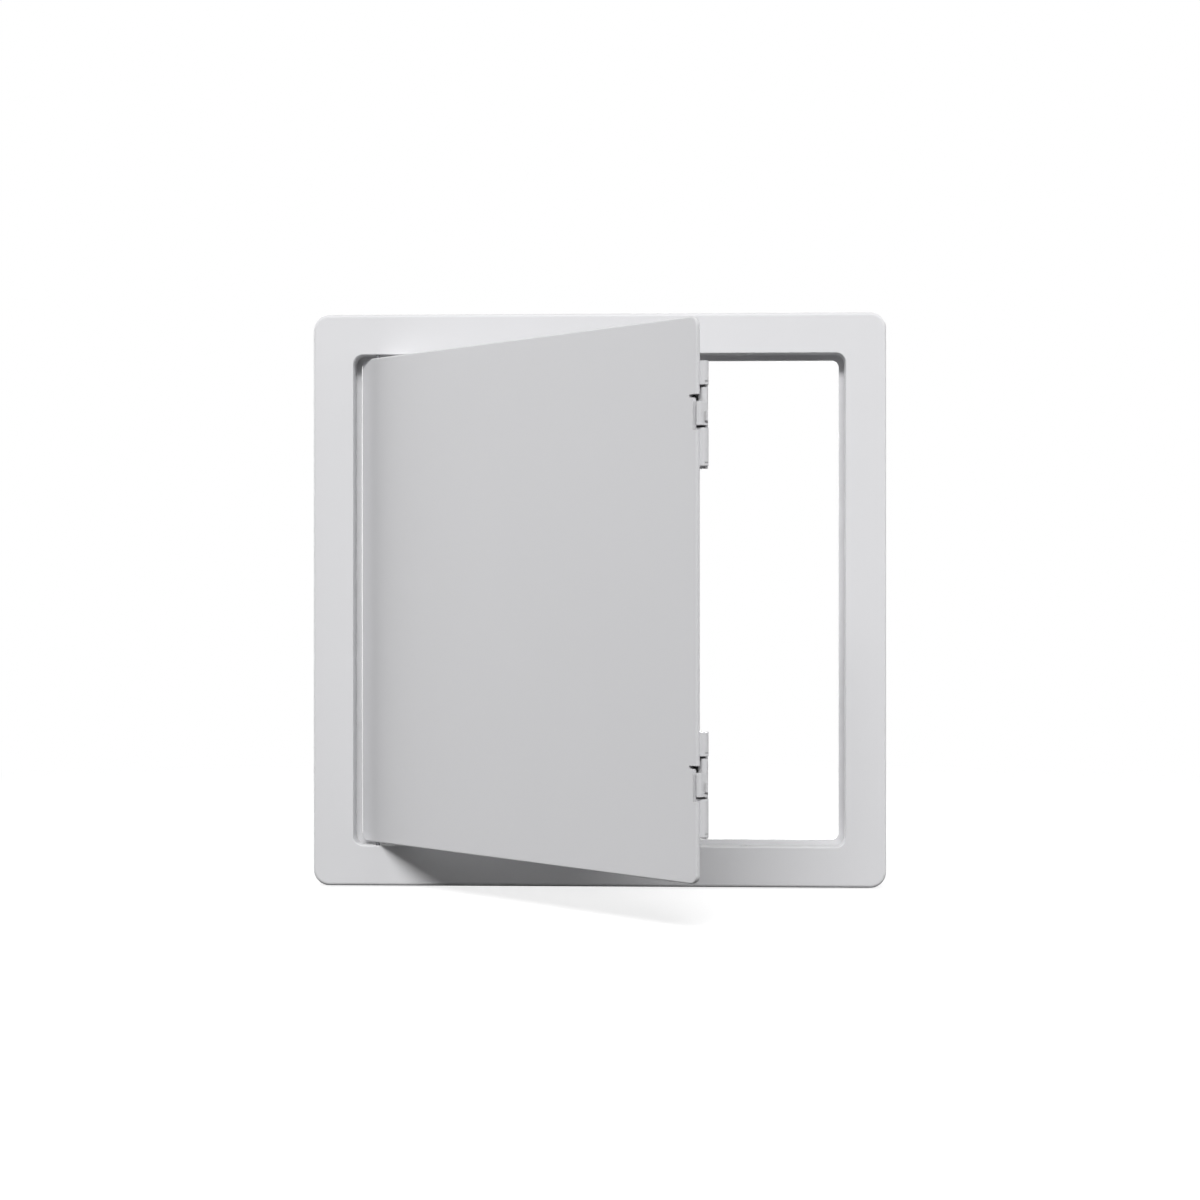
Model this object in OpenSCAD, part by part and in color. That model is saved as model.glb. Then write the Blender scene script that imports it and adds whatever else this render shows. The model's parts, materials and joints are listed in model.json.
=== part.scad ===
// Access panel: a picture-frame moulding with a collar and a rear lip, and a
// flush door that turns on two steel pivot pins and snaps shut with two latches.
// X runs to the right, Z up, and the front looks along -Y. The origin is the
// centre of the opening on the wall face, which is the back of the flange.
// Door pieces are drawn shut and then swung open about the pivot axis.

/* [Frame] */
// Outer width and height of the flange
flange_size = 355; // [345:1:400]
// Thickness of the flange in front of the wall
flange_t = 4.5; // [4:0.1:6]
// Outer corner radius of the flange
flange_corner_r = 10; // [6:0.5:16]
// Rounding of the flange's front outer edge
flange_edge_r = 2; // [0.8:0.1:2.4]
// Clear width and height of the opening
opening_size = 305; // [295:1:312]
// Corner radius of the opening
opening_corner_r = 6; // [4:0.5:9]
// Wall thickness of the collar
collar_wall = 3; // [2.4:0.1:4]
// Depth of the collar behind the wall face
collar_depth = 12.5; // [11:0.5:20]
// Width of the rear lip
lip_w = 3.2; // [2.6:0.1:5]
// Thickness of the rear lip
lip_t = 2.5; // [1.5:0.1:3]
// Rounding of the flange's front inner edge
inner_edge_r = 0.6; // [0.3:0.1:1]
// Depth of the hollow in the back of the flange
core_depth = 2; // [1:0.1:2.2]
// Width of the solid borders beside that hollow
core_border = 3; // [2.4:0.1:5]
// Thickness of the cross ribs in that hollow
core_rib_t = 1.6; // [1:0.1:2.4]
// Number of cross ribs along each side
core_rib_count = 9; // [3:2:13]

/* [Fixing holes] */
// Radius of the screw holes in the top and bottom collar walls
fix_hole_r = 2.25; // [1.6:0.05:3]
// Distance between the two holes in one wall
fix_spacing = 180; // [100:5:220]

/* [Door] */
// Gap between the door and the opening at the top, bottom and hinge side
door_gap = 2; // [1.7:0.1:3]
// Gap between the door and the opening at the free edge
free_gap = 2.8; // [2.5:0.1:3.2]
// Thickness of the door skin
skin_t = 2.5; // [2:0.1:3]
// Corner radius of the door
door_corner_r = 5; // [3:0.5:8]
// Rounding of the door's front edge
door_edge_r = 1; // [0.5:0.1:1.6]
// Angle at which the door stands open
door_open = 46; // [0:1:150]
// Thickness of the stop ribs and stiffening ribs
rib_t = 2; // [1.4:0.1:3]
// Depth of the stiffening ribs behind the skin
rib_depth = 5; // [3:0.5:8]
// Distance from the free edge to the end of the stop ribs
rib_end_gap = 26; // [20:1:40]
// Clearance between the stop ribs and the lip
stop_clear = 0.15; // [0.05:0.05:0.4]

/* [Pivots] */
// Distance from the opening's left wall to the pivot axis
pivot_inset = 15; // [13:0.5:18]
// Distance from the door's face back to the pivot axis
pivot_depth = 2.6; // [2.4:0.1:3]
// Radius of the pivot pins
pivot_pin_r = 1.25; // [1:0.05:1.4]
// Length of pin inside the frame
pivot_engage = 3.5; // [2.5:0.1:4]
// Length of pin inside the door boss
pivot_hold = 22; // [14:1:28]
// Outer radius of the door boss
pivot_boss_r = 3.4; // [2.6:0.1:4]
// Length of the door boss
pivot_boss_len = 28; // [20:1:34]
// Radial running clearance of the pins in the frame
pivot_clear = 0.05; // [0.02:0.01:0.1]

/* [Latches] */
// Height of each latch centre above and below the middle
latch_z = 98.4; // [80:0.2:105]
// Length of a latch along the door's edge
latch_len = 56.9; // [54:0.1:62]
// Length of the upper block of a latch
latch_top_len = 12.7; // [12:0.1:15]
// Length of the lever bay between the blocks
latch_bay_len = 22.8; // [22:0.1:24]
// Gap above and below the lever in its bay
latch_gap = 1.3; // [0.9:0.05:1.4]
// Length of the set-back foot under the lower block
latch_foot = 1.2; // [0.8:0.1:1.8]
// Depth of the shallow groove near the lower end of each segment
mark_depth = 0.35; // [0.1:0.05:0.5]
// Radius of the rounded nose along the blocks and the lever head
nose_r = 2.15; // [1.8:0.05:2.3]
// Distance between the front and back centres of that nose
nose_span = 1.3; // [0.8:0.1:1.6]
// Clearance between the nose and the opening's wall
nose_gap = 0.6; // [0.4:0.05:1]
// Width of the latch clip across the door
clip_w = 19.5; // [18:0.1:24]
// Thickness of the plate behind the lever
clip_plate_t = 1.8; // [1.2:0.1:2.4]
// Distance from the door's edge in to the clip plate's edge
clip_plate_inset = 1.4; // [1.2:0.1:2.4]
// Distance from the door's edge in to the back wall of the lever bay
bay_inset = 9.5; // [8.5:0.1:11]
// Distance from the door's edge in to the lever pin
lever_pin_inset = 4.2; // [3.8:0.1:5]
// Distance from the latch's top end down to the lever pin
lever_pin_drop = 16.1; // [16:0.1:16.6]
// Radius of the lever pin
lever_pin_r = 0.9; // [0.7:0.05:1]
// Radial clearance of the lever on its pin
lever_pin_clear = 0.05; // [0.02:0.01:0.1]
// Depth of the lever pin's seat in the door skin
lever_pin_seat = 1; // [0.5:0.1:1.2]
// Outer radius of the lever around its pin
lever_boss_r = 1.8; // [1.6:0.05:1.9]
// Distance from the door's edge in to the back of the lever neck
neck_back_inset = 3.2; // [3:0.1:3.4]
// Distance from the back nose centre forward to the neck's front
neck_front = 1.6; // [1.2:0.05:1.9]
// Distance from the latch's top end down to the lever head
neck_drop = 21.6; // [21:0.1:24]
// Distance from the door's edge in to the back of the lever head
lever_back_inset = 7; // [6.6:0.1:7.6]
// Clearance between the lever and what lies before and behind it
lever_side_clear = 0.25; // [0.15:0.05:0.4]
// Radius of the catch bead on the lever head
bead_r = 0.55; // [0.45:0.05:0.7]
// Distance from the front nose centre back to the catch bead
bead_back = 0.35; // [0:0.05:0.6]
// Length of the catch bead
bead_len = 5; // [3:0.1:5.4]
// Reach of the catch bead past the collar's inner face
bead_reach = 0.7; // [0.4:0.05:0.9]
// Clearance around the bead in the keeper groove
keeper_clear = 0.35; // [0.2:0.05:0.5]
// Depth of the notch in the door's edge
notch_depth = 2.7; // [2.5:0.1:3]
// Distance from the latch's top end down to the notch
notch_drop = 17.8; // [17.6:0.1:18.6]
// Length of the notch
notch_len = 19.1; // [18.4:0.1:21]
// Gap between the notch's side and the lever head
pad_gap = 1.4; // [1.3:0.05:1.5]
// Radius of the lever head's front where it stands in the notch
pad_r = 1.6; // [1.3:0.05:1.7]
// Depth of the lever head's front below the door's face
pad_sink = 0.3; // [0.1:0.05:0.6]
// Distance from the door's edge in to the end of the release slot
slot_reach = 5.7; // [5:0.1:6]
// Height of the release slot
slot_h = 1.7; // [1.2:0.1:2]
// Thickness of the leaf spring
leaf_t = 0.4; // [0.2:0.05:0.6]
// Length of the leaf spring between its ends
leaf_chord = 11.6; // [10:0.1:12]

/* [Latch screws] */
// Radius of the screw shank
screw_r = 1.2; // [1:0.05:1.4]
// Radius of the screw head
screw_head_r = 2.4; // [2:0.05:2.8]
// Height of the screw head
screw_head_h = 1.5; // [1:0.1:2]
// Depth of the screw below the clip's back
screw_len = 5; // [4:0.1:5.6]
// Outer radius of the screw post on the door
post_r = 2.6; // [2.2:0.05:3]
// Radial clearance between the post and its pocket in the clip
post_clear = 0.15; // [0.1:0.05:0.3]
// Clearance between a post's end and its pocket's floor
post_end_clear = 0.2; // [0.1:0.05:0.4]

/* [Hidden] */
$fn = 64;

// Overshoot of cutting tools
cut = 1;
// Fit of pressed pins and screws in their holes
press_clear = 0.01;
half_open = opening_size / 2;
half_door = half_open - door_gap;
free_x = half_open - free_gap;
face_y = -flange_t;
skin_back = face_y + skin_t;
lip_front = collar_depth - lip_t;
pivot_x = -half_open + pivot_inset;
pivot_y = face_y + pivot_depth;
core_inner = half_open + collar_wall + core_border;
core_outer = flange_size / 2 - core_border;
fix_y = lip_front / 2;

nose_x = half_open - nose_gap - nose_r;
nose_y = skin_back + nose_r;
nose_back_y = nose_y + nose_span;
clip_front = skin_back;
clip_mid = nose_back_y + nose_r;
clip_back = clip_mid + clip_plate_t;
clip_left = nose_x - clip_w + nose_r;
clip_plate_x = free_x - clip_plate_inset;
bay_x = free_x - bay_inset;
bay_top = latch_top_len;
bay_bottom = latch_top_len + latch_bay_len;
lever_top = bay_top + latch_gap;
lever_bottom = bay_bottom - latch_gap;
lever_x = free_x - lever_back_inset;
lever_pin_x = free_x - lever_pin_inset;
lever_r = nose_r - lever_side_clear;
lever_front = skin_back + lever_side_clear;
lever_back = clip_mid - lever_side_clear;
bead_x = half_open + bead_reach - bead_r;
bead_y = nose_y + bead_back;
bead_bottom = lever_bottom - 2.4;
notch_x = free_x - notch_depth;
pad_x = notch_x + pad_gap + pad_r;
pad_y = face_y + pad_sink + pad_r;
slot_x = free_x - slot_reach + slot_h / 2;
slot_drop = notch_drop + slot_h / 2;
block_bottom = latch_len - latch_foot;
mark_len = 0.8;
mark_rise = 1.2;
post_x = (clip_left + bay_x) / 2;
post_drops = [latch_top_len / 2, (bay_bottom + block_bottom) / 2];
post_end = clip_mid - post_end_clear;
leaf_rise = lever_x - bay_x;
leaf_front = lever_front + 0.6;
leaf_back = lever_back - 0.6;
leaf_mid = (neck_drop + lever_bottom) / 2;

// Rounded rectangle of width w, height h and corner radius r, centred
module rounded_plate(w, h, r) {
    square([w - 2 * r, h], center = true);
    square([w, h - 2 * r], center = true);
    for (sx = [-1, 1], sy = [-1, 1])
        translate([sx * (w / 2 - r), sy * (h / 2 - r)]) circle(r);
}

// Upright rounded plate between the depths y0 and y1
module slab(w, h, r, y0, y1) {
    translate([0, y1, 0]) rotate([90, 0, 0])
        linear_extrude(height = y1 - y0) rounded_plate(w, h, r);
}

// Upright rounded plate whose front edge is rounded all round by e
module soft_slab(w, h, r, y0, y1, e) {
    slab(w, h, r, y0 + e, y1);
    slab(w - 2 * e, h - 2 * e, r - e, y0, y1);
    for (side = [-1, 1]) {
        translate([-w / 2 + r, y0 + e, side * (h / 2 - e)]) rotate([0, 90, 0])
            cylinder(r = e, h = w - 2 * r);
        translate([side * (w / 2 - e), y0 + e, -h / 2 + r]) cylinder(r = e, h = h - 2 * r);
    }
    for (sx = [0, 1], sz = [0, 1])
        mirror([sx, 0, 0]) mirror([0, 0, sz])
            translate([w / 2 - r, y0 + e, h / 2 - r]) rotate([90, 0, 0])
                rotate_extrude(angle = 90) translate([r - e, 0]) circle(e);
}

// Tube of radius e around a rounded square, centred on its outline
module outline_tube(s, r, y, e) {
    run = s - 2 * r;
    for (side = [-1, 1]) {
        translate([-run / 2, y, side * s / 2]) rotate([0, 90, 0]) cylinder(r = e, h = run);
        translate([side * s / 2, y, -run / 2]) cylinder(r = e, h = run);
    }
    for (k = [0:3])
        rotate([0, -90 * k, 0]) translate([run / 2, y, run / 2])
            rotate([90, 0, 0]) rotate_extrude(angle = 90)
                translate([r, 0]) circle(e);
}

// Box given by its low and high corners
module block(low, high) {
    translate(low) cube(high - low);
}

// Cylinder along Y between two depths
module y_rod(x, z, r, y0, y1) {
    translate([x, y1, z]) rotate([90, 0, 0]) cylinder(r = r, h = y1 - y0);
}

// Swings door pieces from shut to the open angle
module swung() {
    translate([pivot_x, pivot_y, 0]) rotate([0, 0, -door_open])
        translate([-pivot_x, -pivot_y, 0]) children();
}

// Puts latch pieces at the upper (1) or lower (-1) place, measured from the
// latch's top end downwards
module latch_at(side) {
    swung() translate([0, 0, side * latch_z + latch_len / 2]) children();
}

// Rounded outer edge of radius r, from one drop to another
module nose(r, top, bottom) {
    for (y = [nose_y, nose_back_y])
        translate([nose_x, y, -bottom]) cylinder(r = r, h = bottom - top);
    block([nose_x - cut, nose_y, -bottom], [nose_x + r, nose_back_y, -top]);
}

// Cutter for the shallow groove near the lower end of a nose of radius r
module mark_cut(r, bottom) {
    block([nose_x + r - mark_depth, nose_y - mark_depth, -bottom + mark_rise],
          [nose_x + r + cut, clip_mid + cut, -bottom + mark_rise + mark_len]);
}

// Slot that runs from the notch's upper corner inwards, with a round end
module slot_cut() {
    block([slot_x, face_y - cut, -slot_drop - slot_h / 2],
          [notch_x + cut, skin_back + cut, -slot_drop + slot_h / 2]);
    y_rod(slot_x, -slot_drop, slot_h / 2, face_y - cut, skin_back + cut);
}

// Cross ribs that bridge the hollow in the flange's back
module core_ribs() {
    pitch = 2 * half_open / (core_rib_count + 1);
    for (k = [0:3], i = [1:core_rib_count])
        rotate([0, 90 * k, 0])
            block([-half_open + i * pitch - core_rib_t / 2, -core_depth, core_inner],
                  [-half_open + i * pitch + core_rib_t / 2, 0, core_outer]);
}

module frame() {
    color("gainsboro") difference() {
        union() {
            difference() {
                soft_slab(flange_size, flange_size, flange_corner_r, face_y, 0, flange_edge_r);
                difference() {
                    slab(2 * core_outer, 2 * core_outer, flange_corner_r - core_border, -core_depth, cut);
                    slab(2 * core_inner, 2 * core_inner,
                         opening_corner_r + collar_wall + core_border, -core_depth - cut, 2 * cut);
                    core_ribs();
                }
            }
            slab(opening_size + 2 * collar_wall, opening_size + 2 * collar_wall,
                 opening_corner_r + collar_wall, -core_depth, collar_depth);
        }
        slab(opening_size, opening_size, opening_corner_r, face_y - cut, lip_front);
        // Rounding of the inner edge
        difference() {
            slab(opening_size + 2 * inner_edge_r, opening_size + 2 * inner_edge_r,
                 opening_corner_r + inner_edge_r, face_y - cut, face_y + inner_edge_r);
            outline_tube(opening_size + 2 * inner_edge_r, opening_corner_r + inner_edge_r,
                         face_y + inner_edge_r, inner_edge_r);
        }
        slab(opening_size - 2 * lip_w, opening_size - 2 * lip_w,
             opening_corner_r - lip_w / 2, lip_front - cut, collar_depth + cut);
        // Pivot sockets in the top and bottom
        for (side = [-1, 1])
            mirror([0, 0, side > 0 ? 0 : 1])
                translate([pivot_x, pivot_y, half_open - cut])
                    cylinder(r = pivot_pin_r + pivot_clear, h = pivot_engage + cut + 0.5);
        // Screw holes through the top and bottom collar walls
        for (side = [-1, 1], sx = [-1, 1])
            translate([sx * fix_spacing / 2, fix_y, side * (half_open + collar_wall / 2)])
                cylinder(r = fix_hole_r, h = collar_wall + 2 * cut, center = true);
        // Keeper grooves for the catch beads
        for (side = [-1, 1])
            translate([bead_x, bead_y, side * latch_z + latch_len / 2
                       - bead_bottom - bead_r - keeper_clear])
                cylinder(r = bead_r + keeper_clear,
                         h = bead_len + 2 * bead_r + 2 * keeper_clear);
    }
}

// Stop ribs that land on the top and bottom lip, and the stiffening grid
module door_ribs() {
    left = pivot_x + pivot_boss_r + 5;
    right = free_x - rib_end_gap;
    top = half_door - 0.2;
    for (side = [0, 1]) mirror([0, 0, side])
        block([left, skin_back - cut, top - rib_t], [right, lip_front - stop_clear, top]);
    for (i = [0:3])
        block([left + i * (right - left - rib_t) / 3, skin_back - cut, -top],
              [left + i * (right - left - rib_t) / 3 + rib_t, skin_back + rib_depth, top]);
    for (z = [-half_door / 2, 0, half_door / 2])
        block([left, skin_back - cut, z - rib_t / 2],
              [right, skin_back + rib_depth, z + rib_t / 2]);
}

// Boss along the pivot axis, level with the door's face
module pivot_boss() {
    top = half_door - door_corner_r / 2;
    intersection() {
        translate([pivot_x, pivot_y, top - pivot_boss_len])
            cylinder(r = pivot_boss_r, h = pivot_boss_len);
        block([pivot_x - 10, face_y + door_edge_r, 0], [pivot_x + 10, 20, half_open]);
    }
}

module door_panel() {
    color("lightgray") swung() difference() {
        union() {
            translate([(free_x - half_door) / 2, 0, 0])
                soft_slab(half_door + free_x, 2 * half_door, door_corner_r,
                          face_y, skin_back, door_edge_r);
            door_ribs();
            for (side = [0, 1]) mirror([0, 0, side]) pivot_boss();
            for (side = [-1, 1], d = post_drops)
                y_rod(post_x, side * latch_z + latch_len / 2 - d, post_r,
                      skin_back - cut, post_end);
        }
        // Bores for the pivot pins
        for (side = [0, 1]) mirror([0, 0, side])
            translate([pivot_x, pivot_y, half_door - pivot_hold])
                cylinder(r = pivot_pin_r + press_clear, h = pivot_hold + cut);
        // Notch, release slot and pin seat over each latch lever
        for (side = [-1, 1]) translate([0, 0, side * latch_z + latch_len / 2]) {
            block([notch_x, face_y - cut, -notch_drop - notch_len],
                  [free_x + cut, skin_back + cut, -notch_drop]);
            slot_cut();
            y_rod(lever_pin_x, -lever_pin_drop, lever_pin_r + press_clear,
                  skin_back - lever_pin_seat - 0.1, skin_back + cut);
        }
        // Screw holes in the posts
        for (side = [-1, 1], d = post_drops)
            y_rod(post_x, side * latch_z + latch_len / 2 - d, screw_r + press_clear,
                  clip_back - screw_len - 0.3, post_end + cut);
    }
}

module hinge_pin(side) {
    color("silver") swung() mirror([0, 0, side > 0 ? 0 : 1])
        translate([pivot_x, pivot_y, half_door - pivot_hold + 0.2])
            cylinder(r = pivot_pin_r, h = pivot_hold - 0.2 + door_gap + pivot_engage);
}

// Moulded clip behind the door's edge: two blocks with rounded noses, joined
// by a back plate, with a bay for the lever between them
module latch_clip(side) {
    color("gainsboro") latch_at(side) difference() {
        union() {
            block([clip_left, clip_front, -block_bottom], [nose_x, clip_mid, 0]);
            block([clip_left, clip_mid - cut, -block_bottom], [clip_plate_x, clip_back, 0]);
            block([clip_left, clip_mid, -latch_len], [clip_plate_x, clip_back, 0]);
            nose(nose_r, 0, block_bottom);
        }
        mark_cut(nose_r, bay_top);
        mark_cut(nose_r, block_bottom);
        block([bay_x, clip_front - cut, -bay_bottom],
              [half_open, clip_mid, -bay_top]);
        y_rod(lever_pin_x, -lever_pin_drop, lever_pin_r + press_clear,
              clip_mid - cut, clip_back + cut);
        for (d = post_drops) {
            y_rod(post_x, -d, post_r + post_clear, clip_front - cut, clip_mid);
            y_rod(post_x, -d, screw_r + post_clear, clip_mid - cut, clip_back + cut);
        }
    }
}

// Lever: a slim neck with the pin boss above, and below it a full head, seen
// through the door's notch, with the catch bead
module latch_lever(side) {
    color("whitesmoke") latch_at(side) difference() {
        union() {
            translate([nose_x, nose_back_y, -neck_drop - cut])
                cylinder(r = lever_r, h = neck_drop + cut - lever_top);
            block([free_x - neck_back_inset, nose_back_y - neck_front, -neck_drop - cut],
                  [nose_x, lever_back, -lever_top]);
            nose(lever_r, neck_drop, lever_bottom);
            block([lever_x, lever_front, -lever_bottom], [nose_x, lever_back, -neck_drop]);
            translate([pad_x, pad_y, -lever_bottom])
                cylinder(r = pad_r, h = lever_bottom - neck_drop);
            block([pad_x - pad_r, pad_y, -lever_bottom], [pad_x + pad_r, nose_y, -neck_drop]);
            y_rod(lever_pin_x, -lever_pin_drop, lever_boss_r, lever_front, lever_back);
            translate([bead_x, bead_y, -bead_bottom]) cylinder(r = bead_r, h = bead_len);
            block([nose_x, bead_y - bead_r, -bead_bottom],
                  [bead_x, bead_y + bead_r, -bead_bottom + bead_len]);
        }
        mark_cut(lever_r, lever_bottom);
        y_rod(lever_pin_x, -lever_pin_drop, lever_pin_r + lever_pin_clear,
              lever_front - cut, lever_back + cut);
    }
}

module latch_pin(side) {
    color("silver") latch_at(side)
        y_rod(lever_pin_x, -lever_pin_drop, lever_pin_r, skin_back - lever_pin_seat, clip_back);
}

// Bowed leaf between the bay's back wall and the lever head
module latch_spring(side) {
    rise = leaf_rise - 0.1;
    bow_r = (leaf_chord * leaf_chord / 4 + rise * rise) / (2 * rise);
    color("silver") latch_at(side) intersection() {
        difference() {
            y_rod(bay_x + 0.05 + rise - bow_r, -leaf_mid, bow_r, leaf_front, leaf_back);
            y_rod(bay_x + 0.05 + rise - bow_r, -leaf_mid, bow_r - leaf_t,
                  leaf_front - cut, leaf_back + cut);
        }
        block([bay_x + 0.05, clip_front - cut, -leaf_mid - leaf_chord],
              [lever_x, clip_back, -leaf_mid + leaf_chord]);
    }
}

module latch_screws(side) {
    color("silver") latch_at(side) for (d = post_drops) difference() {
        union() {
            y_rod(post_x, -d, screw_r, clip_back - screw_len, clip_back + 0.2);
            y_rod(post_x, -d, screw_head_r, clip_back, clip_back + screw_head_h);
        }
        for (turn = [0, 90]) translate([post_x, clip_back + screw_head_h, -d])
            rotate([0, turn, 0]) cube([2.4, 1.6, 0.6], center = true);
    }
}

frame();
door_panel();
hinge_pin(1);  // hinge_pin_upper
hinge_pin(-1);  // hinge_pin_lower
latch_clip(1);  // latch_clip_upper
latch_clip(-1);  // latch_clip_lower
latch_lever(1);  // latch_lever_upper
latch_lever(-1);  // latch_lever_lower
latch_pin(1);  // latch_pin_upper
latch_pin(-1);  // latch_pin_lower
latch_spring(1);  // latch_spring_upper
latch_spring(-1);  // latch_spring_lower
latch_screws(1);  // latch_screws_upper
latch_screws(-1);  // latch_screws_lower
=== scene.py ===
# %% [markdown]
# Access panel with an open door
#
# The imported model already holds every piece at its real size, in metres, with
# the front looking along -Y. This lesson gives the pieces their moulded and
# metal finishes, sets up the camera and light of a product photograph, and
# softens the sharp CAD edges where the eye catches them.

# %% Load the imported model
import json
from math import radians

import bpy
from mathutils import Matrix, Vector


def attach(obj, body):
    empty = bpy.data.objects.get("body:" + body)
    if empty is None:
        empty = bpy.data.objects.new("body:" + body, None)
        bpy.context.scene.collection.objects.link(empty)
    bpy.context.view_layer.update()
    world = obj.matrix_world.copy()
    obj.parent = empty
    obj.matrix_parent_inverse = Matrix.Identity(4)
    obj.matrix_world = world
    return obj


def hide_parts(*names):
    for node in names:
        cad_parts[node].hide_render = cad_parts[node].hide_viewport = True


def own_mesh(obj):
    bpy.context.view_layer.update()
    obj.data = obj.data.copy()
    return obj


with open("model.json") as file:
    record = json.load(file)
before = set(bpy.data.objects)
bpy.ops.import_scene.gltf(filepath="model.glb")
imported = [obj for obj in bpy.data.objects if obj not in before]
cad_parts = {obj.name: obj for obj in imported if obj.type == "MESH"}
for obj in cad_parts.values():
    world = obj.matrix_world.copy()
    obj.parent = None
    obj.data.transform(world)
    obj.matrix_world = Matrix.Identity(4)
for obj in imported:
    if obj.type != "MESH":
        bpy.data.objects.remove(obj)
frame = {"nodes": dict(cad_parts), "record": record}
scene = bpy.context.scene
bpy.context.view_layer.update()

# %% [markdown]
# The camera stands about a metre and a half in front of the panel, level with
# its middle and a little to the right, and is turned slightly left. A lens of
# about 69 mm gives the door's strong narrowing towards the hinge. These values
# came from matching the frame's and the door's edges.

# %% Camera
camera_data = bpy.data.cameras.new("panel_camera")
camera_data.lens = 68.9
camera_data.sensor_width = 36.0
camera = bpy.data.objects.new("panel_camera", camera_data)
camera.location = (0.0574, -1.425, 0.0001)
camera.rotation_euler = (radians(90.0), 0.0, radians(2.274))
scene.collection.objects.link(camera)
scene.camera = camera
scene.view_settings.view_transform = "Standard"
print("camera at", tuple(camera.location))

# %% [markdown]
# Colours in Blender are linear, while a colour picked by eye is in display
# values. This helper turns one into the other.

# %% Colour helper
def display_to_linear(level):
    share = level / 255.0
    if share <= 0.04045:
        return share / 12.92
    return ((share + 0.055) / 1.055) ** 2.4


def paint(red, green, blue):
    return (display_to_linear(red), display_to_linear(green), display_to_linear(blue), 1.0)


print("a display tone of 220 is", round(display_to_linear(220), 3), "in linear light")

# %% [markdown]
# The world and the floor look white to the camera and in mirror-like surfaces, but
# they light the object far less than that. The Light Path node tells the two apart:
# this helper gives 1 for rays that look at something and 0 for rays that only carry
# light to the object.

# %% Direct sight
def direct_sight(nodes, links):
    light_path = nodes.new("ShaderNodeLightPath")
    camera_or_gloss = nodes.new("ShaderNodeMath")
    camera_or_gloss.operation = "MAXIMUM"
    links.new(light_path.outputs["Is Camera Ray"], camera_or_gloss.inputs[0])
    links.new(light_path.outputs["Is Glossy Ray"], camera_or_gloss.inputs[1])
    any_sight = nodes.new("ShaderNodeMath")
    any_sight.operation = "MAXIMUM"
    links.new(camera_or_gloss.outputs[0], any_sight.inputs[0])
    links.new(light_path.outputs["Is Transmission Ray"], any_sight.inputs[1])
    return any_sight.outputs[0]


print("direct sight: camera, glossy and transmission rays")

# %% [markdown]
# The lamps do most of the work, so the world only adds a little soft light from
# behind. What is seen of it is plain white, as on a white sweep.

# %% World
world = bpy.data.worlds.new("studio_world")
scene.world = world
world.use_nodes = True
world_nodes = world.node_tree.nodes
world_links = world.node_tree.links
world_nodes.clear()
world_out = world_nodes.new("ShaderNodeOutputWorld")
seen_sky = world_nodes.new("ShaderNodeBackground")
seen_sky.inputs["Color"].default_value = (1.0, 1.0, 1.0, 1.0)
seen_sky.inputs["Strength"].default_value = 1.0
lit_sky = world_nodes.new("ShaderNodeBackground")
lit_sky.inputs["Color"].default_value = (0.97, 0.98, 1.0, 1.0)
sky_direction = world_nodes.new("ShaderNodeTexCoord")
sky_split = world_nodes.new("ShaderNodeSeparateXYZ")
world_links.new(sky_direction.outputs["Generated"], sky_split.inputs[0])
sky_level = world_nodes.new("ShaderNodeMapRange")
sky_level.interpolation_type = "SMOOTHSTEP"
sky_level.inputs["From Min"].default_value = 0.0
sky_level.inputs["From Max"].default_value = 0.9
sky_level.inputs["To Min"].default_value = 0.01
sky_level.inputs["To Max"].default_value = 0.06
world_links.new(sky_split.outputs["Y"], sky_level.inputs["Value"])
world_links.new(sky_level.outputs["Result"], lit_sky.inputs["Strength"])
sky_mix = world_nodes.new("ShaderNodeMixShader")
world_links.new(direct_sight(world_nodes, world_links), sky_mix.inputs["Fac"])
world_links.new(lit_sky.outputs[0], sky_mix.inputs[1])
world_links.new(seen_sky.outputs[0], sky_mix.inputs[2])
world_links.new(sky_mix.outputs[0], world_out.inputs["Surface"])
print("back light up to", sky_level.inputs["To Max"].default_value)

# %% [markdown]
# A key light, wide but not tall, hangs high in front. Its width softens the door's
# shadow on the lower flange, and its small height keeps the wedge of shadow clear
# that the frame throws on the door's upper corner by the hinge. A large lamp stands
# level with the panel on the left, partly behind it, so that the frame shades the
# door beside the hinge. Weak lamps at front left and high on the right fill the
# shadows. The lamp far on the right and the one straight behind light the door's
# back, and hardly touch the collar walls that the camera sees.

# %% Lamps
def soft_light(name, place, aim, width, height, watts):
    data = bpy.data.lights.new(name, "AREA")
    data.shape = "ELLIPSE"
    data.size = width
    data.size_y = height
    data.energy = watts
    lamp = bpy.data.objects.new(name, data)
    lamp.location = place
    lamp.visible_camera = False
    scene.collection.objects.link(lamp)
    direction = lamp.location - aim
    lamp.rotation_euler = direction.to_track_quat("Z", "Y").to_euler()
    return lamp


panel_middle = Vector((0.0, -0.05, 0.0))
lamps = [
    soft_light("key_light", (-0.19, -3.92, 3.21), panel_middle, width=3.6, height=1.1, watts=245.0),
    soft_light("left_light", (-2.24, 0.82, 0.33), panel_middle, width=1.9, height=1.9, watts=37.0),
    soft_light("front_left_light", (-1.96, -1.70, 0.45), panel_middle, width=1.8, height=1.8, watts=4.0),
    soft_light("high_right_light", (1.10, -0.63, 0.84), panel_middle, width=1.0, height=1.0, watts=2.6),
    soft_light("right_light", (2.37, -0.30, 0.25), panel_middle, width=1.3, height=1.3, watts=14.0),
    soft_light("back_light", (0.1, 3.0, 0.1), panel_middle, width=0.8, height=0.8, watts=35.0),
]
for lamp in lamps:
    print(lamp.name, lamp.data.energy, "W")

# %% [markdown]
# The floor is a wide pale sheet just under the flange. Near the object the camera
# sees it lit, so the shadow stays; farther away it fades to plain white, like a
# sweep. To all other light it is dark, so that it throws nothing up at the object.

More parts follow.
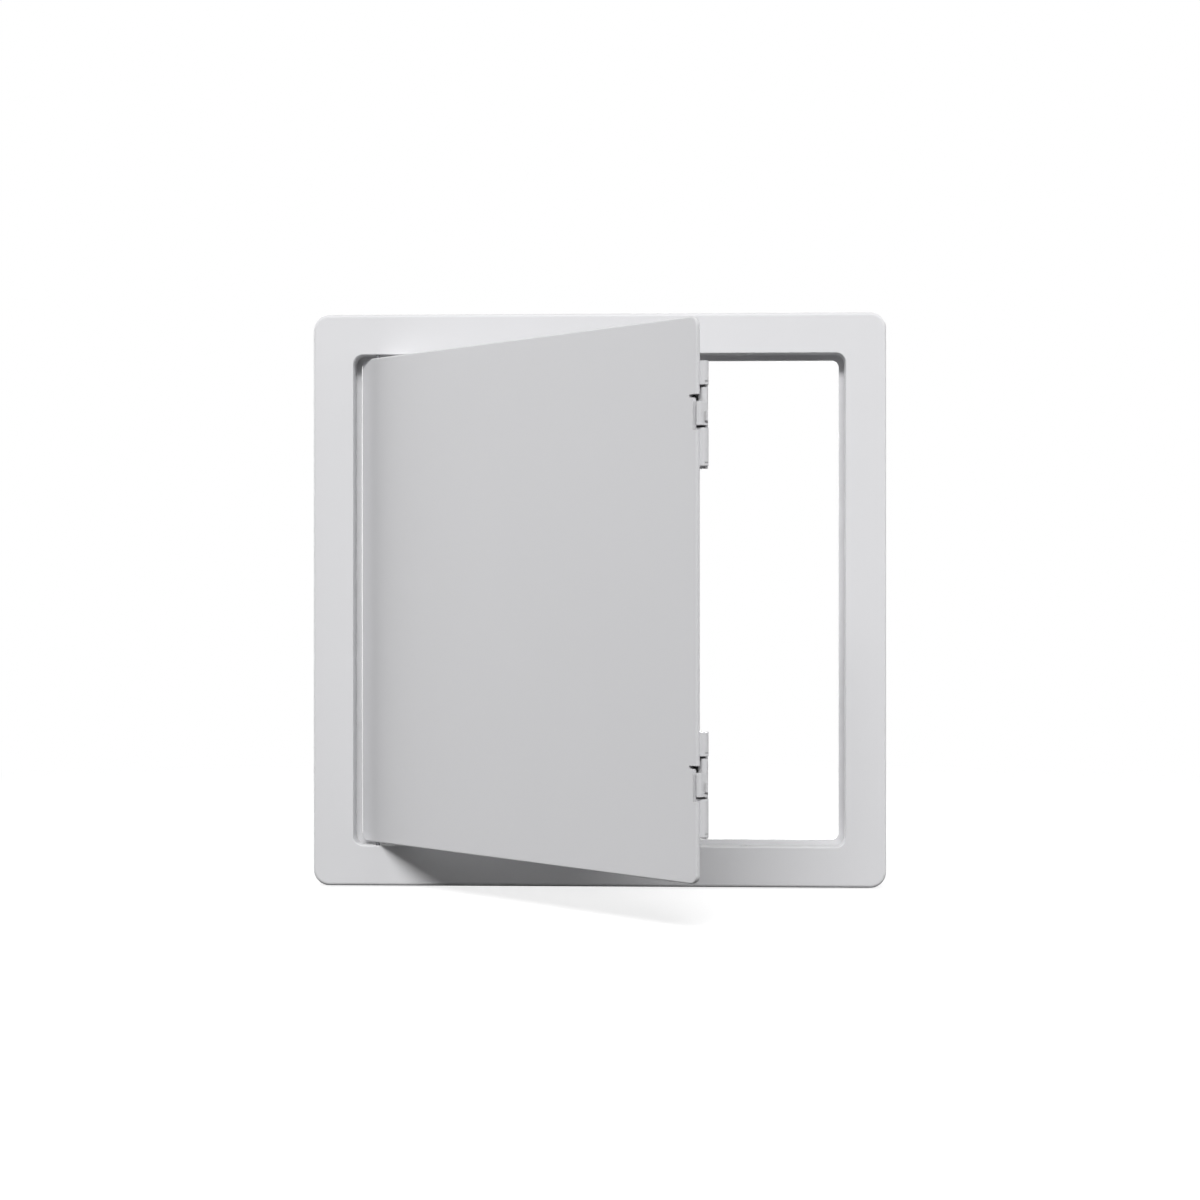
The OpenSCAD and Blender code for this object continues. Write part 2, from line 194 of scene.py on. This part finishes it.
# %% Floor finish
floor_finish = bpy.data.materials.new("pale_floor")
floor_finish.use_nodes = True
floor_nodes = floor_finish.node_tree.nodes
floor_links = floor_finish.node_tree.links
floor_nodes.clear()
floor_out = floor_nodes.new("ShaderNodeOutputMaterial")
floor_place = floor_nodes.new("ShaderNodeTexCoord")
floor_reach = floor_nodes.new("ShaderNodeVectorMath")
floor_reach.operation = "LENGTH"
floor_links.new(floor_place.outputs["Object"], floor_reach.inputs[0])
floor_fade = floor_nodes.new("ShaderNodeMapRange")
floor_fade.interpolation_type = "SMOOTHSTEP"
floor_fade.inputs["From Min"].default_value = 0.35
floor_fade.inputs["From Max"].default_value = 1.10
floor_links.new(floor_reach.outputs["Value"], floor_fade.inputs["Value"])
floor_matt = floor_nodes.new("ShaderNodeBsdfDiffuse")
floor_matt.inputs["Color"].default_value = (0.55, 0.55, 0.55, 1.0)
floor_glow = floor_nodes.new("ShaderNodeEmission")
floor_glow.inputs["Color"].default_value = (0.70, 0.70, 0.70, 1.0)
floor_lit = floor_nodes.new("ShaderNodeAddShader")
floor_links.new(floor_matt.outputs[0], floor_lit.inputs[0])
floor_links.new(floor_glow.outputs[0], floor_lit.inputs[1])
floor_white = floor_nodes.new("ShaderNodeEmission")
floor_white.inputs["Color"].default_value = (1.0, 1.0, 1.0, 1.0)
floor_seen = floor_nodes.new("ShaderNodeMixShader")
floor_links.new(floor_fade.outputs["Result"], floor_seen.inputs["Fac"])
floor_links.new(floor_lit.outputs[0], floor_seen.inputs[1])
floor_links.new(floor_white.outputs[0], floor_seen.inputs[2])
floor_dark = floor_nodes.new("ShaderNodeBsdfDiffuse")
floor_dark.inputs["Color"].default_value = (0.05, 0.05, 0.05, 1.0)
floor_mix = floor_nodes.new("ShaderNodeMixShader")
floor_links.new(direct_sight(floor_nodes, floor_links), floor_mix.inputs["Fac"])
floor_links.new(floor_dark.outputs[0], floor_mix.inputs[1])
floor_links.new(floor_seen.outputs[0], floor_mix.inputs[2])
floor_links.new(floor_mix.outputs[0], floor_out.inputs["Surface"])
print(floor_finish.name, "has", len(floor_nodes), "nodes")

# %% [markdown]
# The sheet lies a millimetre under the flange. It belongs to the stage, not to the
# part.

# %% Floor sheet
floor_level = -0.1785
bpy.ops.object.select_all(action="DESELECT")
bpy.ops.mesh.primitive_plane_add(size=12.0, location=(0.0, 0.0, floor_level))
floor = bpy.context.active_object
floor.name = "floor"
floor.data.materials.append(floor_finish)
print("floor at", floor_level)

# %% [markdown]
# Moulded plastic carries a fine spark texture from its mould and a faint cloudy
# tone. Both are used by every plastic piece, so they are one node group with
# named sockets.

# %% Moulded grain group
def new_group(name, inputs, outputs, vector_inputs=(), vector_outputs=()):
    group = bpy.data.node_groups.new(name, "ShaderNodeTree")
    for socket_name, default in inputs:
        socket = group.interface.new_socket(socket_name, in_out="INPUT", socket_type="NodeSocketFloat")
        socket.default_value = default
    for socket_name in vector_inputs:
        group.interface.new_socket(socket_name, in_out="INPUT", socket_type="NodeSocketVector")
    for socket_name in outputs:
        group.interface.new_socket(socket_name, in_out="OUTPUT", socket_type="NodeSocketFloat")
    for socket_name in vector_outputs:
        group.interface.new_socket(socket_name, in_out="OUTPUT", socket_type="NodeSocketVector")
    entry = group.nodes.new("NodeGroupInput")
    leave = group.nodes.new("NodeGroupOutput")
    return group, entry, leave


def noise_on_object(group, scale, detail):
    place = group.nodes.new("ShaderNodeTexCoord")
    noise = group.nodes.new("ShaderNodeTexNoise")
    noise.inputs["Detail"].default_value = detail
    group.links.new(place.outputs["Object"], noise.inputs["Vector"])
    if hasattr(scale, "is_output"):
        group.links.new(scale, noise.inputs["Scale"])
    else:
        noise.inputs["Scale"].default_value = scale
    return noise


grain_group, grain_in, grain_out = new_group(
    "moulded_grain", [("Grain Scale", 1500.0), ("Cloud Scale", 9.0)], ["Height", "Cloud"])
grain_noise = noise_on_object(grain_group, grain_in.outputs["Grain Scale"], 2.0)
grain_group.links.new(grain_noise.outputs["Fac"], grain_out.inputs["Height"])
cloud_noise = noise_on_object(grain_group, grain_in.outputs["Cloud Scale"], 3.0)
grain_group.links.new(cloud_noise.outputs["Fac"], grain_out.inputs["Cloud"])
print("group", grain_group.name)

# %% [markdown]
# Edges that hands and tools rub become a little lighter and smoother, and no
# moulded edge is quite sharp. The Bevel node looks round each edge: its normal
# softens the edge itself, and where it leaves the true normal there is an edge
# to wear. A noise breaks the line up.

# %% Edge wear group
wear_group, wear_in, wear_out = new_group(
    "edge_wear", [("Reach", 0.0006), ("Breakup Scale", 260.0)], ["Mask"], vector_outputs=["Soft Normal"])
round_edge = wear_group.nodes.new("ShaderNodeBevel")
round_edge.samples = 4
wear_group.links.new(wear_in.outputs["Reach"], round_edge.inputs["Radius"])
true_face = wear_group.nodes.new("ShaderNodeNewGeometry")
facing = wear_group.nodes.new("ShaderNodeVectorMath")
facing.operation = "DOT_PRODUCT"
wear_group.links.new(round_edge.outputs["Normal"], facing.inputs[0])
wear_group.links.new(true_face.outputs["True Normal"], facing.inputs[1])
edge_share = wear_group.nodes.new("ShaderNodeMapRange")
edge_share.inputs["From Min"].default_value = 0.995
edge_share.inputs["From Max"].default_value = 0.86
wear_group.links.new(facing.outputs["Value"], edge_share.inputs["Value"])
breakup = noise_on_object(wear_group, wear_in.outputs["Breakup Scale"], 3.0)
broken_edge = wear_group.nodes.new("ShaderNodeMath")
broken_edge.operation = "MULTIPLY"
wear_group.links.new(edge_share.outputs["Result"], broken_edge.inputs[0])
wear_group.links.new(breakup.outputs["Fac"], broken_edge.inputs[1])
wear_group.links.new(broken_edge.outputs[0], wear_out.inputs["Mask"])
wear_group.links.new(round_edge.outputs["Normal"], wear_out.inputs["Soft Normal"])
print("group", wear_group.name)

# %% [markdown]
# Inner corners get painted shade: their colour is pulled towards a grey where the
# piece's own hollows would be shaded. The Ambient Occlusion node finds them on the
# piece itself, so the painted shade stays the same when the door moves. A noise
# makes it uneven.

# %% Painted corner shade group
corner_group, corner_in, corner_out = new_group("painted_inner_shade", [("Reach", 0.01)], ["Mask"])
corner_sight = corner_group.nodes.new("ShaderNodeAmbientOcclusion")
corner_sight.only_local = True
corner_sight.samples = 8
corner_group.links.new(corner_in.outputs["Reach"], corner_sight.inputs["Distance"])
corner_share = corner_group.nodes.new("ShaderNodeMapRange")
corner_share.inputs["From Min"].default_value = 0.97
corner_share.inputs["From Max"].default_value = 0.45
corner_group.links.new(corner_sight.outputs["AO"], corner_share.inputs["Value"])
corner_noise = noise_on_object(corner_group, 90.0, 3.0)
corner_patch = corner_group.nodes.new("ShaderNodeMapRange")
corner_patch.inputs["From Min"].default_value = 0.3
corner_patch.inputs["From Max"].default_value = 0.7
corner_patch.inputs["To Min"].default_value = 0.75
corner_group.links.new(corner_noise.outputs["Fac"], corner_patch.inputs["Value"])
uneven_shade = corner_group.nodes.new("ShaderNodeMath")
uneven_shade.operation = "MULTIPLY"
corner_group.links.new(corner_share.outputs["Result"], uneven_shade.inputs[0])
corner_group.links.new(corner_patch.outputs["Result"], uneven_shade.inputs[1])
corner_group.links.new(uneven_shade.outputs[0], corner_out.inputs["Mask"])
print("group", corner_group.name)

# %% [markdown]
# A thin film of dust settles on faces that look up. The mask is the upward part
# of the normal, broken up by a slow noise.

# %% Dust group
dust_group, dust_in, dust_out = new_group("settled_dust", [("Amount", 0.3)], ["Mask"])
dust_face = dust_group.nodes.new("ShaderNodeNewGeometry")
dust_split = dust_group.nodes.new("ShaderNodeSeparateXYZ")
dust_group.links.new(dust_face.outputs["Normal"], dust_split.inputs[0])
dust_up = dust_group.nodes.new("ShaderNodeMapRange")
dust_up.inputs["From Min"].default_value = 0.35
dust_up.inputs["From Max"].default_value = 1.0
dust_group.links.new(dust_split.outputs["Z"], dust_up.inputs["Value"])
dust_noise = noise_on_object(dust_group, 120.0, 4.0)
dust_patch = dust_group.nodes.new("ShaderNodeMath")
dust_patch.operation = "MULTIPLY"
dust_group.links.new(dust_up.outputs["Result"], dust_patch.inputs[0])
dust_group.links.new(dust_noise.outputs["Fac"], dust_patch.inputs[1])
dust_level = dust_group.nodes.new("ShaderNodeMath")
dust_level.operation = "MULTIPLY"
dust_group.links.new(dust_patch.outputs[0], dust_level.inputs[0])
dust_group.links.new(dust_in.outputs["Amount"], dust_level.inputs[1])
dust_group.links.new(dust_level.outputs[0], dust_out.inputs["Mask"])
print("group", dust_group.name)

# %% [markdown]
# Three small helpers keep the materials short. The first places a node group with
# its own values, the second blends two colours by a mask, and the third scales a
# value and shifts it.

# %% Shader helpers
def place_group(nodes, group, **values):
    holder = nodes.new("ShaderNodeGroup")
    holder.node_tree = group
    for socket_name, value in values.items():
        holder.inputs[socket_name.replace("_", " ")].default_value = value
    return holder


def blend_colour(nodes, links, factor, first, second):
    mix = nodes.new("ShaderNodeMix")
    mix.data_type = "RGBA"
    links.new(factor, mix.inputs["Factor"])
    for colour, socket in ((first, mix.inputs["A"]), (second, mix.inputs["B"])):
        if hasattr(colour, "is_output"):
            links.new(colour, socket)
        else:
            socket.default_value = colour
    return mix.outputs["Result"]


def scaled(nodes, links, value, factor, offset):
    step = nodes.new("ShaderNodeMath")
    step.operation = "MULTIPLY_ADD"
    links.new(value, step.inputs[0])
    step.inputs[1].default_value = factor
    step.inputs[2].default_value = offset
    return step.outputs[0]


print("helpers for groups, colours and values")

# %% [markdown]
# The panel is a cool off-white plastic with a satin face. The frame, the door
# and the latches are separate mouldings. Each gets its own tone, the door and the
# latches a little darker than the frame. One function makes all three, and lays
# the groups' masks over the base tone one by one, the last being painted shade in
# inner corners.

# %% Plastic finish
plastic_gloss = 0.2
dust_tone = paint(188, 186, 182)
# the grey towards which inner corners are darkened: painted shade
painted_shade_tone = paint(128, 127, 126)


def plastic(name, low, high, rubbed, roughness, grain_depth, painted_shade_share):
    finish = bpy.data.materials.new(name)
    finish.use_nodes = True
    nodes = finish.node_tree.nodes
    links = finish.node_tree.links
    shader = nodes["Principled BSDF"]
    shader.inputs["Specular IOR Level"].default_value = plastic_gloss
    grain = place_group(nodes, grain_group, Grain_Scale=1500.0, Cloud_Scale=9.0)
    wear = place_group(nodes, wear_group, Reach=0.0004, Breakup_Scale=260.0)
    dust = place_group(nodes, dust_group, Amount=0.25)
    tone = blend_colour(nodes, links, grain.outputs["Cloud"], low, high)
    worn = blend_colour(nodes, links, wear.outputs["Mask"], tone, rubbed)
    dusty = blend_colour(nodes, links, dust.outputs["Mask"], worn, dust_tone)
    # painted shade: the occlusion mask darkens inner corners towards that grey
    corner_shading = place_group(nodes, corner_group, Reach=0.01)
    shading_mask = scaled(nodes, links, corner_shading.outputs["Mask"], painted_shade_share, 0.0)
    with_painted_shade = blend_colour(nodes, links, shading_mask, dusty, painted_shade_tone)
    links.new(with_painted_shade, shader.inputs["Base Color"])
    gloss = scaled(nodes, links, grain.outputs["Cloud"], 0.10, roughness - 0.05)
    links.new(gloss, shader.inputs["Roughness"])
    bump = nodes.new("ShaderNodeBump")
    bump.inputs["Strength"].default_value = 0.35
    bump.inputs["Distance"].default_value = grain_depth
    links.new(wear.outputs["Soft Normal"], bump.inputs["Normal"])
    links.new(grain.outputs["Height"], bump.inputs["Height"])
    links.new(bump.outputs["Normal"], shader.inputs["Normal"])
    return finish


frame_plastic = plastic(
    "frame_plastic", paint(228, 228, 230), paint(233, 233, 235), paint(235, 235, 237),
    roughness=0.56, grain_depth=0.00004, painted_shade_share=0.25)
door_plastic = plastic(
    "door_plastic", paint(216, 216, 218), paint(221, 221, 223), paint(224, 224, 226),
    roughness=0.58, grain_depth=0.00005, painted_shade_share=0.5)
latch_plastic = plastic(
    "latch_plastic", paint(214, 214, 216), paint(219, 219, 221), paint(226, 226, 228),
    roughness=0.52, grain_depth=0.00003, painted_shade_share=0.5)
print("plastics:", frame_plastic.name, door_plastic.name, latch_plastic.name)

# %% [markdown]
# Where the mould's ejector pins push a piece out, they leave faint round marks on
# its back. They are too shallow to model, so they are bump. The group's first half
# wraps the place into a grid of cells and measures how far it is from the middle of
# its cell.

# %% Ejector mark group: the grid
mark_group, mark_in, mark_out = new_group(
    "ejector_marks", [("Across", 0.03), ("Up", 0.03), ("Radius", 0.003), ("Facing", 0.0)], ["Height"],
    vector_inputs=["Place"])
cell_size = mark_group.nodes.new("ShaderNodeCombineXYZ")
mark_group.links.new(mark_in.outputs["Across"], cell_size.inputs["X"])
mark_group.links.new(mark_in.outputs["Up"], cell_size.inputs["Z"])
cell_sides = []
for share in (0.5, -0.5):
    side = mark_group.nodes.new("ShaderNodeVectorMath")
    side.operation = "SCALE"
    side.inputs["Scale"].default_value = share
    mark_group.links.new(cell_size.outputs[0], side.inputs[0])
    cell_sides.append(side)
in_cell = mark_group.nodes.new("ShaderNodeVectorMath")
in_cell.operation = "WRAP"
mark_group.links.new(mark_in.outputs["Place"], in_cell.inputs[0])
mark_group.links.new(cell_sides[0].outputs[0], in_cell.inputs[1])
mark_group.links.new(cell_sides[1].outputs[0], in_cell.inputs[2])
flat_cell = mark_group.nodes.new("ShaderNodeVectorMath")
flat_cell.operation = "MULTIPLY"
flat_cell.inputs[1].default_value = (1.0, 0.0, 1.0)
mark_group.links.new(in_cell.outputs[0], flat_cell.inputs[0])
from_middle = mark_group.nodes.new("ShaderNodeVectorMath")
from_middle.operation = "LENGTH"
mark_group.links.new(flat_cell.outputs[0], from_middle.inputs[0])
print("group", mark_group.name, "measures from the middle of each cell")

# %% [markdown]
# The second half presses a disc in around the middle, with a soft rim. Only faces
# that look backwards get it.

# %% Ejector mark group: the disc
soft_rim = 0.0004
beyond_rim = mark_group.nodes.new("ShaderNodeMath")
beyond_rim.operation = "SUBTRACT"
mark_group.links.new(from_middle.outputs["Value"], beyond_rim.inputs[0])
mark_group.links.new(mark_in.outputs["Radius"], beyond_rim.inputs[1])
disc = mark_group.nodes.new("ShaderNodeMapRange")
disc.interpolation_type = "SMOOTHSTEP"
disc.inputs["From Min"].default_value = 0.0
disc.inputs["From Max"].default_value = -soft_rim
mark_group.links.new(beyond_rim.outputs[0], disc.inputs["Value"])
looks_back = mark_group.nodes.new("ShaderNodeMath")
looks_back.operation = "GREATER_THAN"
looks_back.inputs[1].default_value = 0.95
mark_group.links.new(mark_in.outputs["Facing"], looks_back.inputs[0])
pressed = mark_group.nodes.new("ShaderNodeMath")
pressed.operation = "MULTIPLY"
mark_group.links.new(disc.outputs["Result"], pressed.inputs[0])
mark_group.links.new(looks_back.outputs[0], pressed.inputs[1])
mark_group.links.new(pressed.outputs[0], mark_out.inputs["Height"])
print("group", mark_group.name, "has a soft rim of", soft_rim, "m")

# %% [markdown]
# The door's marks follow the door, which is turned in the resting pose, so a
# Mapping node turns the place back first and shifts the first mark to its cell.
# The frame's marks sit between the ribs on the flange's back. The two backs are the
# directions that the door's and the frame's rear faces look in.

# %% Ejector marks on the door and the frame
mark_radius = 0.0028
mark_depth = 0.0004


def press_marks(finish, turn, shift, back, across, up):
    nodes = finish.node_tree.nodes
    links = finish.node_tree.links
    place = nodes.new("ShaderNodeTexCoord")
    mapping = nodes.new("ShaderNodeMapping")
    mapping.inputs["Rotation"].default_value = (0.0, 0.0, turn)
    mapping.inputs["Location"].default_value = shift
    links.new(place.outputs["Object"], mapping.inputs["Vector"])
    facing = nodes.new("ShaderNodeVectorMath")
    facing.operation = "DOT_PRODUCT"
    facing.inputs[1].default_value = back
    links.new(place.outputs["Normal"], facing.inputs[0])
    marks = place_group(nodes, mark_group, Across=across, Up=up, Radius=mark_radius)
    links.new(mapping.outputs["Vector"], marks.inputs["Place"])
    links.new(facing.outputs["Value"], marks.inputs["Facing"])
    grain_bump = nodes["Bump"]
    mark_bump = nodes.new("ShaderNodeBump")
    mark_bump.invert = True
    mark_bump.inputs["Strength"].default_value = 1.0
    mark_bump.inputs["Distance"].default_value = mark_depth
    links.new(marks.outputs["Height"], mark_bump.inputs["Height"])
    links.new(grain_bump.inputs["Normal"].links[0].from_socket, mark_bump.inputs["Normal"])
    links.new(mark_bump.outputs["Normal"], grain_bump.inputs["Normal"])


pivot = Vector((-0.1375, -0.0019, 0.0))
door_turn = radians(46.0)
door_back = Vector((0.7193398, 0.6946584, 0.0))
turned_pivot = Matrix.Rotation(door_turn, 3, "Z") @ pivot
door_shift = Vector((-0.0303, 0.0, 0.0376)) - turned_pivot
press_marks(door_plastic, door_turn, door_shift, door_back, across=0.0418, up=0.0752)
frame_back = Vector((0.0, 1.0, 0.0))
frame_shift = Vector((0.13725, 0.0, 0.13725))
rib_pitch = 0.0305
press_marks(frame_plastic, 0.0, frame_shift, frame_back, across=rib_pitch, up=rib_pitch)
print("marks pressed into the door's and the frame's back")

# %% [markdown]
# The pins, springs and screws are steel. Drawn pins and springs carry fine lines,
# made here from a noise stretched upwards. The plated screws have an even grain.

# %% Steel finish
rubbed_steel = paint(214, 214, 216)


def steel(name, dark, light, roughness, stretch):
    finish = bpy.data.materials.new(name)
    finish.use_nodes = True
    nodes = finish.node_tree.nodes
    links = finish.node_tree.links
    shader = nodes["Principled BSDF"]
    shader.inputs["Metallic"].default_value = 1.0
    place = nodes.new("ShaderNodeTexCoord")
    mapping = nodes.new("ShaderNodeMapping")
    mapping.inputs["Scale"].default_value = stretch
    links.new(place.outputs["Object"], mapping.inputs["Vector"])
    lines = nodes.new("ShaderNodeTexNoise")
    lines.inputs["Scale"].default_value = 2500.0
    lines.inputs["Detail"].default_value = 3.0
    links.new(mapping.outputs["Vector"], lines.inputs["Vector"])
    wear = place_group(nodes, wear_group, Reach=0.0003, Breakup_Scale=700.0)
    tone = blend_colour(nodes, links, lines.outputs["Fac"], dark, light)
    worn = blend_colour(nodes, links, wear.outputs["Mask"], tone, rubbed_steel)
    links.new(worn, shader.inputs["Base Color"])
    links.new(scaled(nodes, links, lines.outputs["Fac"], 0.18, roughness), shader.inputs["Roughness"])
    bump = nodes.new("ShaderNodeBump")
    bump.inputs["Strength"].default_value = 0.3
    bump.inputs["Distance"].default_value = 0.00001
    links.new(wear.outputs["Soft Normal"], bump.inputs["Normal"])
    links.new(lines.outputs["Fac"], bump.inputs["Height"])
    links.new(bump.outputs["Normal"], shader.inputs["Normal"])
    return finish


drawn_upwards = (1.0, 1.0, 0.08)
plain_grain = (1.0, 1.0, 1.0)
pin_steel = steel("pin_steel", paint(96, 97, 100), paint(128, 129, 132), 0.40, drawn_upwards)
spring_steel = steel("spring_steel", paint(120, 122, 128), paint(164, 166, 172), 0.24, drawn_upwards)
screw_steel = steel("screw_steel", paint(116, 117, 116), paint(150, 150, 147), 0.36, plain_grain)
print("steels:", pin_steel.name, spring_steel.name, screw_steel.name)

# %% [markdown]
# Each CAD node keeps its shape and takes the finish of its own material slot. Only
# the screws and the springs get copies that stand for them, further down.

# %% Dress the nodes
finish_of_slot = {
    "frame_plastic": frame_plastic,
    "door_plastic": door_plastic,
    "latch_plastic": latch_plastic,
    "pin_steel": pin_steel,
    "spring_steel": spring_steel,
    "screw_steel": screw_steel,
}
for row in frame["record"]["subparts"]:
    piece = frame["nodes"][row["node"]]
    finish = finish_of_slot[row["material_slot"]]
    piece.data.materials.clear()
    piece.data.materials.append(finish)
print("dressed", len(frame["nodes"]), "nodes")

# %% [markdown]
# A CAD mesh is loose triangles. Before a copy of it is bevelled or smooth-shaded,
# its points are merged and its flat faces are joined.

# %% Merged copies
merge_distance = 0.000002
flat_angle = radians(0.5)
smooth_angle = radians(32.0)


def merged_copy(node, name):
    piece = bpy.data.objects.new(name, frame["nodes"][node].data.copy())
    scene.collection.objects.link(piece)
    bpy.ops.object.select_all(action="DESELECT")
    piece.select_set(True)
    bpy.context.view_layer.objects.active = piece
    bpy.ops.object.mode_set(mode="EDIT")
    bpy.ops.mesh.select_all(action="SELECT")
    bpy.ops.mesh.remove_doubles(threshold=merge_distance)
    bpy.ops.mesh.dissolve_limited(angle_limit=flat_angle)
    bpy.ops.mesh.select_all(action="DESELECT")
    bpy.ops.object.mode_set(mode="OBJECT")
    return piece


print("copies merge points closer than", merge_distance, "m")

# %% [markdown]
# Two pan-head screws hold each latch. The CAD head is a plain disc with a cross
# recess, so the copy's outer rim is bevelled into a low dome, and the copy stands
# for the node. The rim is found by place: of the points on the top faces of the two
# heads, those close to the outer radius.

# %% Screw heads
rim_bevel = 0.0006
rim_share = 0.93
level_slack = 0.00001


def head_rim(mesh, axis):
    along = Vector((axis.y, -axis.x, 0.0))
    top = max(vertex.co.dot(axis) for vertex in mesh.vertices)
    on_top = [vertex for vertex in mesh.vertices if vertex.co.dot(axis) > top - level_slack]
    top_heights = [vertex.co.z for vertex in on_top]
    middle_z = (max(top_heights) + min(top_heights)) / 2.0
    rim = set()
    for half in (-1.0, 1.0):
        head = [vertex for vertex in on_top if (vertex.co.z - middle_z) * half > 0.0]
        across = [vertex.co.dot(along) for vertex in head]
        heights = [vertex.co.z for vertex in head]
        centre = ((max(across) + min(across)) / 2.0, (max(heights) + min(heights)) / 2.0)
        radius = (max(across) - min(across)) / 2.0
        for vertex in head:
            offset = Vector((vertex.co.dot(along) - centre[0], vertex.co.z - centre[1]))
            if offset.length > rim_share * radius:
                rim.add(vertex.index)
    return rim


def pan_head_screws(node, name):
    piece = merged_copy(node, name)
    rim = head_rim(piece.data, door_back)
    bpy.context.tool_settings.mesh_select_mode = (False, True, False)
    for edge in piece.data.edges:
        edge.select = edge.vertices[0] in rim and edge.vertices[1] in rim
    bpy.ops.object.mode_set(mode="EDIT")
    bpy.ops.mesh.bevel(offset=rim_bevel, offset_type="OFFSET", segments=5, profile=0.5, affect="EDGES")
    bpy.ops.object.mode_set(mode="OBJECT")
    bpy.ops.object.shade_smooth_by_angle(angle=smooth_angle)
    piece.data.materials.clear()
    piece.data.materials.append(screw_steel)
    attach(piece, "door")
    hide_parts(node)
    print(name, len(rim), "rim points,", len(piece.data.polygons), "faces")


for level in ("upper", "lower"):
    pan_head_screws(f"latch_screws_{level}", f"{level}_latch_screws")

# %% [markdown]
# Behind each lever head a bowed leaf of spring steel pushes the catch outwards.
# When the lever is pressed in, the real leaf flattens against the wall of its bay.
# Each leaf here is a smooth-shaded copy that stands for the node and moves with
# the door, and how far it bows out from that wall is printed.

# %% Leaf springs
door_along = Vector((door_back.y, -door_back.x, 0.0))


def leaf_spring(node, name):
    piece = merged_copy(node, name)
    bpy.ops.object.shade_smooth_by_angle(angle=smooth_angle)
    piece.data.materials.clear()
    piece.data.materials.append(spring_steel)
    heights = [vertex.co.dot(door_along) for vertex in piece.data.vertices]
    wall = min(heights)
    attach(piece, "door")
    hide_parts(node)
    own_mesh(piece)
    bow = (max(heights) - wall) * 1000.0
    print(name, "bows", round(bow, 2), "mm,", len(piece.data.polygons), "faces")


for level in ("upper", "lower"):
    leaf_spring(f"latch_spring_{level}", f"{level}_leaf_spring")
